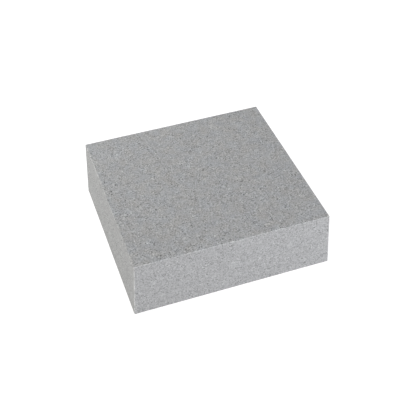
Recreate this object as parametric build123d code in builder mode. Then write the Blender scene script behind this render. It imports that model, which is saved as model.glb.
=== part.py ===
from build123d import *
import math
import os

# Sharpening whetstone: one solid block of bonded abrasive, without a base, holder or lid.
#
# The block is a short length of moulded bench stone. Its two moulded sides keep the draft
# of the mould, so the resting face is a little wider than the honing face. Its two ends
# are sawn square, and every arris is lightly bevelled.
#
# Millimetres. The origin is the middle of the resting face, with +Z up to the honing
# face, +X across the moulded sides and +Y from the front end to the back end.

# Driving dimensions
HONING_WIDTH = 50.0  # X, between the moulded sides at the honing face
LENGTH = 48.5  # Y, between the sawn ends
THICKNESS = 16.5  # Z, from the resting face to the honing face
SIDE_DRAFT = 3.5  # degrees that each moulded side leans outwards on its way down
ARRIS_CHAMFER = 0.3  # bevel rubbed onto all twelve edges

# The resting face is wider than the honing face by what both drafted sides add.
resting_width = HONING_WIDTH + 2 * THICKNESS * math.tan(math.radians(SIDE_DRAFT))

os.makedirs("parts", exist_ok=True)

with BuildPart() as abrasive_block:
    with BuildSketch(Plane.XZ) as mould_section:
        Trapezoid(
            width=resting_width,
            height=THICKNESS,
            left_side_angle=90 - SIDE_DRAFT,
            align=(Align.CENTER, Align.MIN),
        )
    extrude(amount=LENGTH / 2, both=True)
    chamfer(abrasive_block.edges(), length=ARRIS_CHAMFER)

abrasive_block.part.label = "abrasive_block"
export_step(abrasive_block.part, "parts/abrasive_block.step")
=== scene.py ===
import math

import bpy
import numpy as np
from mathutils import Matrix, Vector, kdtree, noise


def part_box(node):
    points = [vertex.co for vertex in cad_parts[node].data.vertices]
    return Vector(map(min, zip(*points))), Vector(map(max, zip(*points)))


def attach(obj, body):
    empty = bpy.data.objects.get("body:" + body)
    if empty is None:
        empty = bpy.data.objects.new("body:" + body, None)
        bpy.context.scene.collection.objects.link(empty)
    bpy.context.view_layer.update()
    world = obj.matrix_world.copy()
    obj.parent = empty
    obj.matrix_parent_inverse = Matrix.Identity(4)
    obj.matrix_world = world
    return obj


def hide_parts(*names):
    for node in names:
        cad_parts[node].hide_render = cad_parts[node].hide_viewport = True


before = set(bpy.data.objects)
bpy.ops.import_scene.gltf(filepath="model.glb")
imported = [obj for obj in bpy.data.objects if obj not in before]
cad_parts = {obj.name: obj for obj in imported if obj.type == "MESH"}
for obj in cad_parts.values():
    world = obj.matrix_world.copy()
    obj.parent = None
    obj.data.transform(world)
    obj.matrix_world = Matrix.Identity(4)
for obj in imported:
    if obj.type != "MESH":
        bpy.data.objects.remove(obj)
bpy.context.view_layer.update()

# A sharpening whetstone: one block of bonded abrasive, as a fine mesh with open pores,
# grain relief and crumbly arrises, on a white shooting table. Metres, in the CAD's frame,
# except where a comment says millimetres. Tones are factors on the abrasive's grey.

MM = 0.001
NODE = "abrasive_block"
STONE_LOW, STONE_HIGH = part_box(NODE)

# The mesh
ARRIS = 0.28 * MM  # radius of the worn arrises
ARRIS_STEPS = 4  # grid lines over an arris on each of its two faces
GRID_STEP = 0.3 * MM  # spacing of the grid lines between the arrises
GRID_JITTER = 0.22  # how far a grid point strays within its face, in grid steps
RANDOM_SEED = 7
FLAT = 0.999  # part of a normal from which a point lies flat on that side
FACING = 0.75  # part of a normal from which a point belongs to that side
MID_ARRIS = math.sqrt(0.5)  # largest part of a normal in the middle of an arris
NOISE_SHIFT = (17.3, 5.9, 11.1)  # how far apart the noises of two seeds lie

# Relief, all of it cut inwards from the block's own faces
PORE_COUNT = 2500
PORE_RADIUS = (0.3 * MM, 0.6 * MM)
PORE_SHARE = (0.3, 1.0)  # depth of a pore as a share of PORE_DEPTH
PORE_DEPTH = 0.13 * MM
GRAIN_RELIEF = 0.015 * MM  # every grid point is a grain, set back by up to this
WAVE_RELIEF = 0.02 * MM
WAVE_SIZE = 9 * MM
MOULDED_RELIEF = 0.5  # the moulded sides are smoother than the honing face and the ends
CRUMB_DEPTH = 0.02 * MM  # small crumbs broken out of the arrises
CRUMB_SIZE = 0.55 * MM
CRUMB_SHARE = 0.25  # from -1, no crumbs, to 1, crumbs everywhere
WEAR_DEPTH = 0.02 * MM  # longer worn stretches of the arrises
WEAR_SIZE = 3.5 * MM
WEAR_SHARE = 0.4  # from -1 to 1, like CRUMB_SHARE
CRUSH_AND_HIGHLIGHT_START = 0.05  # roundness, from 0 to 1, at which an arris begins to be painted lighter, as crushed grains and as a painted highlight
CRUSH_AND_HIGHLIGHT_SPAN = 0.35  # and how much rounder it is where that lightening is full
CRUSH_AND_HIGHLIGHT_SIDE = 0.1  # part of a normal from which an arris belongs to that side

# The abrasive's colour, with sizes in millimetres
GRAIN_CELL = 0.39  # spacing of the grains in the bond
GRAIN_LIGHT = 0.68  # tone of the lightest grain, where the bond is 1
GRAIN_DARK = 0.22
GRAIN_SKEW = 3.0  # above 1, most grains are light and a few are dark
GRIT_CELL = 0.28  # finer grains, in between
GRIT_TONE = 0.66  # in the middle of each
GRAIN_CORE = 0.15  # share of a cell's size at which a grain's own tone begins to fade
GRAIN_RIM = 0.7  # and at which it has become the bond's
FLECK_CELL = 0.27  # single glassy or dark crystals
FLECK_RARITY = 40.0  # the higher, the rarer
GLINT_TONE = 1.6
FLECK_TONE = 0.4
MEAN_TONE = 0.755  # average over all the grains, where the bond is 1
SPECK_CELL = 0.8  # one dark speck may lie in each cell of this size
SPECK_SHARE = 0.8  # of the cells have one
SPECK_RADIUS = 0.24  # of the largest
SPECK_TONE = 0.5
PORE_TONE = 0.75  # painted shade, darkest at the bottom of the deepest pore
PORE_RIM = 0.1  # depth, from 0 to 1, at which the painted shade in a pore begins
ARRIS_HIGHLIGHT_TONE = 1.9  # the front left arris is painted this much lighter: partly crushed grains, partly a painted highlight
ARRIS_UPPER = 0.4  # share of that on the front and left arrises of the honing face
ARRIS_OTHER = 0.3  # and on the other arrises
ARRIS_PATCH = 0.4  # size of the patches in which an arris is painted lighter, and less, which dots the painted highlight
ARRIS_LEAST = 0.4  # share of an arris's lightening that is left in between those patches
WARM_GREY = (0.299, 0.293, 0.286)
COOL_GREY = (0.288, 0.291, 0.297)
TINT_SIZE = 2.6  # size of the patches of warm and cool grey
TINT_MIDDLE = 0.5  # halfway between the two greys
SIDE_TINT = 0.1  # share of the tint's swing that is left off the honing face
HONING_CONTRAST = 0.79  # how strongly the grain shows on each kind of face
SAWN_CONTRAST = 0.66
MOULDED_CONTRAST = 0.79
PATCH_SIZE = 2.0  # patches where the grain shows more, and less
PATCH_SWING = 0.45  # to both sides of 1
DRIFT_SIZE = 5.0  # wide, faint changes of tone
DRIFT_SWING = 0.015
NOISE_RANGE = (0.3, 0.7)  # most of what smooth noise reaches
NOISE_CORE = (0.35, 0.65)  # a narrower range, for patches with firmer rims
REFRACTION = 1.5
ROUGHNESS = (0.75, 0.95)
BUMP_SIZE = 0.18
BUMP_STRENGTH = 0.5
BUMP_DISTANCE = 0.06 * MM

# The table and the lights
TABLE_HALF = 4.0  # half the length of its sides
TABLE_WHITE = 0.4
TABLE_ROUGHNESS = 0.6
TABLE_GLOW = (0.704, 0.696, 0.694)
DOME = (0.66, 0.66, 0.66)
SOFTBOXES = {  # azimuth and elevation in degrees, distance and size, watts for each colour
    "left_box": (-90, 22, 0.25, 0.2, (0.164, 0.166, 0.153)),
    "back_box": (-150, 35, 0.14, 0.08, (0.077, 0.08, 0.081)),
    "right_box": (35, 22, 0.25, 0.2, (0.421, 0.44, 0.47)),
}

# The camera, seen from the middle of the stone
AZIMUTH = math.radians(-18.77)  # negative is to the left of the front
ELEVATION = math.radians(43.22)
ROLL = math.radians(-1.007)  # negative dips the right side of the picture
DISTANCE = 13.288 * (STONE_HIGH.z - STONE_LOW.z)  # so many times its thickness
AIM_OFFSET = Vector((1.17, -1.50, -1.30)) * MM  # from the middle of the stone
LENS = 71.49  # millimetres
SENSOR = 36  # millimetres
CLIP_START = 0.01


# ---------------------------------------------------------------- the stone's shape


def section_half_widths():
    """Half widths of the drafted section at its bottom and top, as if its arrises were sharp."""
    points = [v.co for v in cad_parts[NODE].data.vertices]
    middle = (STONE_LOW.z + STONE_HIGH.z) / 2
    low = max((p for p in points if p.z < middle), key=lambda p: p.x)
    high = max((p for p in points if p.z > middle), key=lambda p: p.x)
    lean = (low.x - high.x) / (high.z - low.z)
    return low.x + lean * (low.z - STONE_LOW.z), high.x - lean * (STONE_HIGH.z - high.z)


def grid_line(low, high):
    """Grid positions from low to high: close together over each arris, even in between."""
    over_arris = np.linspace(0, ARRIS, ARRIS_STEPS, endpoint=False)
    steps = round((high - low - 2 * ARRIS) / GRID_STEP)
    between = np.linspace(low + ARRIS, high - ARRIS, steps + 1)
    return np.concatenate([low + over_arris, between, high - over_arris[::-1]])


def quads_of(side):
    """Quads over a two-way array of point numbers."""
    corners = [side[:-1, :-1], side[1:, :-1], side[1:, 1:], side[:-1, 1:]]
    return np.stack(corners, axis=-1).reshape(-1, 4)


def box_grid(low, high):
    """Points and outward quads of a closed box whose six faces share their edge points."""
    lines = [grid_line(a, b) for a, b in zip(low, high)]
    shape = tuple(len(line) for line in lines)
    index = np.indices(shape)
    on_surface = np.zeros(shape, bool)
    for axis, count in enumerate(shape):
        on_surface |= (index[axis] == 0) | (index[axis] == count - 1)
    number = np.cumsum(on_surface).reshape(shape) - 1
    points = np.stack([lines[k][index[k][on_surface]] for k in range(3)], axis=-1)
    outer = [number[-1], number[:, -1].T, number[:, :, -1]]
    inner = [number[0], number[:, 0].T, number[:, :, 0]]
    quads = [quads_of(side) for side in outer] + [quads_of(side)[:, ::-1] for side in inner]
    return points, np.concatenate(quads)


def rounded(points, low, high):
    """The points moved onto a box with round arrises, and their outward normals."""
    core = np.clip(points, low + ARRIS, high - ARRIS)
    normals = points - core
    normals /= np.linalg.norm(normals, axis=1, keepdims=True)
    return core + ARRIS * normals, normals


def noise_at(points, size, seed):
    """Smooth noise from -1 to 1 with features of the given size."""
    shift = Vector([seed * part for part in NOISE_SHIFT])
    return np.array([noise.noise(Vector(p) / size + shift) for p in points])


def jittered(points, normals, low, high, rng):
    """The points moved a little within their own flat faces, so that no grid shows."""
    stray = rng.uniform(-1, 1, points.shape) * GRID_JITTER * GRID_STEP
    moved = np.clip(points + stray, low + ARRIS, high - ARRIS)
    flat = np.abs(normals) > FLAT
    on_face = flat.any(axis=1, keepdims=True)
    return np.where(on_face & ~flat, moved, points)


def pore_depths(points, low, high, rng):
    """How deep each point lies in an open pore, from 0 to 1. Pores keep clear of the arrises."""
    from_faces = np.sort(np.hstack([points - low, high - points]), axis=1)
    from_arris = from_faces[:, 1]  # the nearest arris is as far as the second nearest face
    centres = np.flatnonzero(from_arris > PORE_RADIUS[1])
    tree = kdtree.KDTree(len(points))
    for number, point in enumerate(points):
        tree.insert(point, number)
    tree.balance()
    depths = np.zeros(len(points))
    for centre in rng.choice(centres, PORE_COUNT):
        radius = rng.uniform(*PORE_RADIUS)
        depth = rng.uniform(*PORE_SHARE)
        for _, number, distance in tree.find_range(points[centre], radius):
            fall = (1 - (distance / radius) ** 2) ** 2
            depths[number] = max(depths[number], depth * fall)
    return depths


def arris_highlight_shares(normals):
    """How much lighter each arris is painted, partly as crushed grains and partly as a painted
    highlight. The ones around the front left corner get the most.
    """
    left, front, bottom = (normals < -CRUSH_AND_HIGHLIGHT_SIDE).T
    top = normals[:, 2] > CRUSH_AND_HIGHLIGHT_SIDE
    shares = np.full(len(normals), ARRIS_OTHER)
    shares[top & (front | left)] = ARRIS_UPPER
    shares[front & left & ~top & ~bottom] = 1
    return shares


def stone_mesh():
    """The block as a closed mesh, with how far each point is on an arris or in a pore."""
    rng = np.random.default_rng(RANDOM_SEED)
    half_bottom, half_top = section_half_widths()
    low = np.array([-half_top, STONE_LOW.y, STONE_LOW.z])
    high = np.array([half_top, STONE_HIGH.y, STONE_HIGH.z])
    points, quads = box_grid(low, high)
    points, normals = rounded(points, low, high)
    points = jittered(points, normals, low, high, rng)
    pores = pore_depths(points, low, high, rng)

    height = (points[:, 2] - low[2]) / (high[2] - low[2])
    points[:, 0] *= 1 + (half_bottom / half_top - 1) * (1 - height)

    flatness = np.abs(normals).max(axis=1)
    arris = np.clip((1 - flatness) / (1 - MID_ARRIS), 0, 1)
    # arrises painted lighter: partly crushed grains, partly a painted highlight
    crushed_and_highlight = np.clip((arris - CRUSH_AND_HIGHLIGHT_START) / CRUSH_AND_HIGHLIGHT_SPAN, 0, 1) * arris_highlight_shares(normals)
    moulded = np.abs(normals[:, 0]) > FACING
    honing = normals[:, 2] > FACING
    contrast = np.where(honing, HONING_CONTRAST, SAWN_CONTRAST)
    contrast[moulded] = MOULDED_CONTRAST
    rough = np.where(moulded, MOULDED_RELIEF, 1)

    pores *= rough
    grain = rng.uniform(0, 1, len(points)) * (1 - arris)
    waves = (1 + noise_at(points, WAVE_SIZE, seed=2)) / 2
    crumbs = np.clip(noise_at(points, CRUMB_SIZE, seed=3) + CRUMB_SHARE, 0, 1)
    wear = np.clip(noise_at(points, WEAR_SIZE, seed=4) + WEAR_SHARE, 0, 1)
    depth = PORE_DEPTH * pores + WAVE_RELIEF * waves
    depth += rough * GRAIN_RELIEF * grain
    depth += arris * (CRUMB_DEPTH * crumbs + WEAR_DEPTH * wear)
    points = points - normals * depth[:, None]

    mesh = bpy.data.meshes.new("stone")
    mesh.from_pydata(points.tolist(), [], quads.tolist())
    tint_swing = np.where(honing, 1, SIDE_TINT)
    layers = {"crushed_and_highlight": crushed_and_highlight, "pore": pores, "contrast": contrast, "tint_swing": tint_swing}
    for name, values in layers.items():
        layer = mesh.attributes.new(name, "FLOAT", "POINT")
        layer.data.foreach_set("value", np.asarray(values, np.float32))
    mesh.shade_smooth()
    mesh.validate()
    return mesh


# ---------------------------------------------------------------- materials


class Nodes:
    """Short calls for building one material's node tree."""

    def __init__(self, name):
        self.material = bpy.data.materials.new(name)
        self.material.use_nodes = True
        self.tree = self.material.node_tree
        self.tree.nodes.clear()
        self.shader = self.add("ShaderNodeBsdfPrincipled")
        output = self.add("ShaderNodeOutputMaterial")
        self.link(self.shader.outputs["BSDF"], output.inputs["Surface"])

    def add(self, kind, **settings):
        node = self.tree.nodes.new(kind)
        for key, value in settings.items():
            setattr(node, key, value)
        return node

    def link(self, source, target):
        self.tree.links.new(source, target)

    def feed(self, socket, value):
        """Links value to the socket if it is an output, or sets it there."""
        if isinstance(value, bpy.types.NodeSocket):
            self.link(value, socket)
        else:
            socket.default_value = value

    def millimetres(self):
        """The place on the object, in millimetres."""
        place = self.add("ShaderNodeTexCoord").outputs["Object"]
        scaled = self.add("ShaderNodeVectorMath", operation="SCALE")
        self.link(place, scaled.inputs[0])
        scaled.inputs["Scale"].default_value = 1 / MM
        return scaled.outputs[0]

    def noise(self, place, size, detail=2.0, roughness=0.5):
        """Noise from 0 to 1 with features of this size in millimetres."""
        node = self.add("ShaderNodeTexNoise", noise_dimensions="3D")
        self.link(place, node.inputs["Vector"])
        node.inputs["Scale"].default_value = 1 / size
        node.inputs["Detail"].default_value = detail
        node.inputs["Roughness"].default_value = roughness
        return node.outputs["Fac"]

    def cells(self, place, size):
        """Random cells of this size in millimetres: two random numbers each, and the distance."""
        node = self.add("ShaderNodeTexVoronoi")
        self.link(place, node.inputs["Vector"])
        node.inputs["Scale"].default_value = 1 / size
        parts = self.add("ShaderNodeSeparateColor")
        self.link(node.outputs["Color"], parts.inputs["Color"])
        return parts.outputs["Red"], parts.outputs["Green"], node.outputs["Distance"]

    def attribute(self, name):
        node = self.add("ShaderNodeAttribute", attribute_name=name)
        return node.outputs["Fac"]

    def math(self, operation, *values):
        node = self.add("ShaderNodeMath", operation=operation)
        for socket, value in zip(node.inputs, values):
            self.feed(socket, value)
        return node.outputs[0]

    def times(self, *values):
        product = values[0]
        for value in values[1:]:
            product = self.math("MULTIPLY", product, value)
        return product

    def span(self, value, from_low, from_high, to_low=0.0, to_high=1.0):
        """value taken from one range to another, and held inside it."""
        node = self.add("ShaderNodeMapRange", clamp=True)
        ends = (value, from_low, from_high, to_low, to_high)
        for socket, end in zip(("Value", "From Min", "From Max", "To Min", "To Max"), ends):
            self.feed(node.inputs[socket], end)
        return node.outputs["Result"]

    def patches(self, place, size, swing):
        """A factor that wanders this far to both sides of 1."""
        return self.span(self.noise(place, size), *NOISE_RANGE, 1 - swing, 1 + swing)


def abrasive_material():
    """Grey bonded abrasive: packed grains, a few dark and a few bright, with open pores."""
    n = Nodes("bonded_abrasive")
    place = n.millimetres()
    lottery, _, from_grain = n.cells(place, GRAIN_CELL)
    own_tone = n.span(n.math("POWER", lottery, GRAIN_SKEW), 0, 1, GRAIN_LIGHT, GRAIN_DARK)
    grain = n.span(from_grain, GRAIN_CORE, GRAIN_RIM, own_tone, 1)
    _, shade, from_grit = n.cells(place, GRIT_CELL)
    grit = n.span(from_grit, GRAIN_CORE, GRAIN_RIM, GRIT_TONE, 1)
    to_glint, to_fleck, _ = n.cells(place, FLECK_CELL)
    glint = n.span(n.math("POWER", to_glint, FLECK_RARITY), 0, 1, 1, GLINT_TONE)
    fleck = n.span(n.math("POWER", to_fleck, FLECK_RARITY), 0, 1, 1, FLECK_TONE)

    to_speck, _, from_speck = n.cells(place, SPECK_CELL)
    radius = n.span(to_speck, 0, SPECK_SHARE, SPECK_RADIUS / SPECK_CELL, 0)
    speck = n.span(n.math("LESS_THAN", from_speck, radius), 0, 1, 1, SPECK_TONE)

    # painted shade in the pores, darker the deeper they are
    pore = n.span(n.attribute("pore"), PORE_RIM, 1, 1, PORE_TONE)
    # the arrises painted lighter in dotted patches: partly crushed grains, partly a painted
    # highlight
    ragged = n.span(n.noise(place, ARRIS_PATCH), *NOISE_CORE, ARRIS_LEAST, 1)
    arris = n.span(n.times(n.attribute("crushed_and_highlight"), ragged), 0, 1, 1, ARRIS_HIGHLIGHT_TONE)
    drift = n.patches(place, DRIFT_SIZE, DRIFT_SWING)
    patch = n.patches(place, PATCH_SIZE, PATCH_SWING)
    contrast = n.times(n.attribute("contrast"), patch)
    own = n.math("DIVIDE", n.times(grain, grit, glint, fleck, speck), MEAN_TONE)
    speckle = n.math("MULTIPLY_ADD", n.math("SUBTRACT", own, 1), contrast, 1)
    tone = n.times(speckle, pore, arris, drift)

    tint = n.span(n.noise(place, TINT_SIZE, detail=1.0), *NOISE_RANGE)
    off_middle = n.math("SUBTRACT", tint, TINT_MIDDLE)
    swung = n.math("MULTIPLY_ADD", off_middle, n.attribute("tint_swing"), TINT_MIDDLE)
    mix = n.add("ShaderNodeMix", data_type="RGBA")
    n.link(swung, mix.inputs["Factor"])
    mix.inputs["A"].default_value = (*WARM_GREY, 1)
    mix.inputs["B"].default_value = (*COOL_GREY, 1)
    scale = n.add("ShaderNodeVectorMath", operation="SCALE")
    n.link(mix.outputs["Result"], scale.inputs[0])
    n.link(tone, scale.inputs["Scale"])
    n.link(scale.outputs[0], n.shader.inputs["Base Color"])

    n.shader.inputs["IOR"].default_value = REFRACTION
    n.link(n.span(shade, 0, 1, *ROUGHNESS), n.shader.inputs["Roughness"])

    bump = n.add("ShaderNodeBump")
    bump.inputs["Strength"].default_value = BUMP_STRENGTH
    bump.inputs["Distance"].default_value = BUMP_DISTANCE
    n.link(n.math("ADD", n.noise(place, BUMP_SIZE), from_grit), bump.inputs["Height"])
    n.link(bump.outputs["Normal"], n.shader.inputs["Normal"])
    return n.material


def table_material():
    """White acrylic of a shooting table, faintly lit from below."""
    n = Nodes("white_table")
    n.shader.inputs["Base Color"].default_value = (TABLE_WHITE, TABLE_WHITE, TABLE_WHITE, 1)
    n.shader.inputs["Roughness"].default_value = TABLE_ROUGHNESS
    strength, colour = strength_and_colour(TABLE_GLOW)
    n.shader.inputs["Emission Color"].default_value = (*colour, 1)
    n.shader.inputs["Emission Strength"].default_value = strength
    return n.material


# ---------------------------------------------------------------- the set


def add_stone():
    stone = bpy.data.objects.new("whetstone_block", stone_mesh())
    bpy.context.scene.collection.objects.link(stone)
    stone.data.materials.append(abrasive_material())
    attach(stone, "root")
    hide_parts(NODE)


def add_table():
    mesh = bpy.data.meshes.new("table")
    corners = [
        (x * TABLE_HALF, y * TABLE_HALF, STONE_LOW.z)
        for x, y in ((-1, -1), (1, -1), (1, 1), (-1, 1))
    ]
    mesh.from_pydata(corners, [], [(0, 1, 2, 3)])
    table = bpy.data.objects.new("shooting_table", mesh)
    bpy.context.scene.collection.objects.link(table)
    mesh.materials.append(table_material())


def strength_and_colour(power):
    """A light's strength, and its colour with the brightest part at 1."""
    strength = max(power)
    return strength, [part / strength for part in power]


def add_dome():
    """A pale grey room: soft light from everywhere."""
    world = bpy.data.worlds.new("white_room")
    bpy.context.scene.world = world
    world.use_nodes = True
    background = world.node_tree.nodes["Background"]
    strength, colour = strength_and_colour(DOME)
    background.inputs["Strength"].default_value = strength
    background.inputs["Color"].default_value = (*colour, 1)


def from_middle(azimuth, elevation):
    """The direction from the stone towards this azimuth and elevation, in radians."""
    level = math.cos(elevation)
    return Vector((math.sin(azimuth) * level, -math.cos(azimuth) * level, math.sin(elevation)))


def add_softbox(name, azimuth, elevation, distance, size, power):
    """A square soft light that faces the stone."""
    back = from_middle(math.radians(azimuth), math.radians(elevation))
    light = bpy.data.lights.new(name, "AREA")
    light.shape = "SQUARE"
    light.size = size
    light.energy, light.color = strength_and_colour(power)
    lamp = bpy.data.objects.new(name, light)
    bpy.context.scene.collection.objects.link(lamp)
    lamp.location = (STONE_LOW + STONE_HIGH) / 2 + back * distance
    lamp.rotation_euler = back.to_track_quat("Z", "Y").to_euler()


def add_camera():
    """Looks at the stone from the front left and above, a little rolled."""
    back = from_middle(AZIMUTH, ELEVATION)
    level = Vector((math.cos(AZIMUTH), math.sin(AZIMUTH), 0))
    right = level * math.cos(ROLL) + back.cross(level) * math.sin(ROLL)
    camera = bpy.data.objects.new("camera", bpy.data.cameras.new("camera"))
    bpy.context.scene.collection.objects.link(camera)
    camera.data.sensor_width = SENSOR
    camera.data.lens = LENS
    camera.data.clip_start = CLIP_START
    camera.matrix_world = Matrix((right, back.cross(right), back)).transposed().to_4x4()
    camera.location = (STONE_LOW + STONE_HIGH) / 2 + AIM_OFFSET + back * DISTANCE
    bpy.context.scene.camera = camera


add_stone()
add_table()
add_dome()
for name, setting in SOFTBOXES.items():
    add_softbox(name, *setting)
add_camera()

settings = bpy.context.scene.view_settings
settings.view_transform = "Standard"
settings.look = "None"
